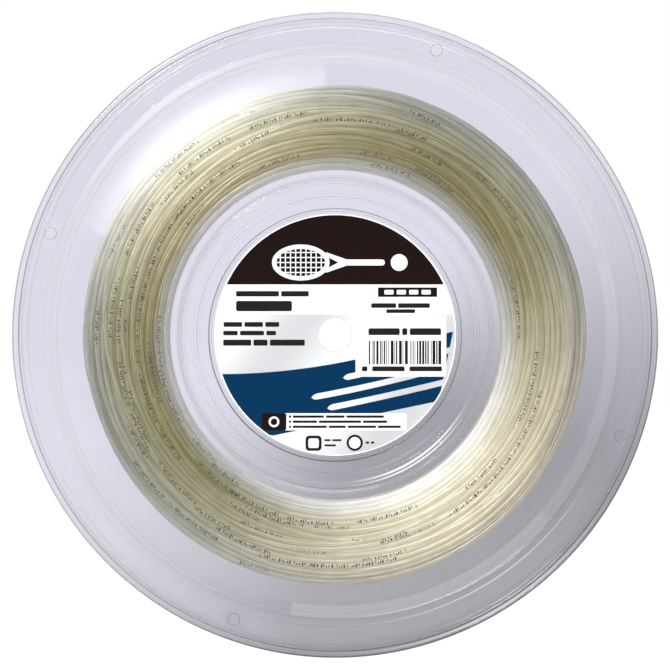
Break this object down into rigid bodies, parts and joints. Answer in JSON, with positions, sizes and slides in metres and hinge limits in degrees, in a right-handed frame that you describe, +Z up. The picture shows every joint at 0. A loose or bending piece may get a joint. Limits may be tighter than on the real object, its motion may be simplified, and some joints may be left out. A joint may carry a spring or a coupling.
{
  "type": "string reel",
  "caption": "Clear moulded spool with wide round flanges, wound with translucent racket string, with a round paper label in the hub and a small spindle bore.",
  "frame": {"origin": "centre of the reel, on the spindle axis at the middle of the winding width", "axes": "+Y along the spindle axis from the labelled front flange to the rear flange, +Z up with the label upright, +X to the right seen from the front"},
  "size_m": [0.1614, 0.0364, 0.1614],
  "materials": {
    "clear_plastic": "clear, polished, slightly smoky",
    "core_plastic": "clear moulded",
    "string_nylon": "translucent nylon, glossy",
    "tape_film": "clear film",
    "label_paper": "coated, printed",
    "sticker_paper": "matt white"
  },
  "bodies": {
    "reel": {"front_flange": "clear_plastic", "rear_flange": "clear_plastic", "hub_core": "core_plastic", "string_winding": "string_nylon", "front_label": "label_paper", "barcode_sticker": "sticker_paper"},
    "free_end": {"string_tail": "string_nylon", "tail_tape": "tape_film"}
  },
  "joints": [
    {"name": "string_payout", "type": "hinge", "parent": "reel", "child": "free_end", "pos_m": [0, 0, 0], "axis": [0, 1, 0], "continuous": true}
  ]
}
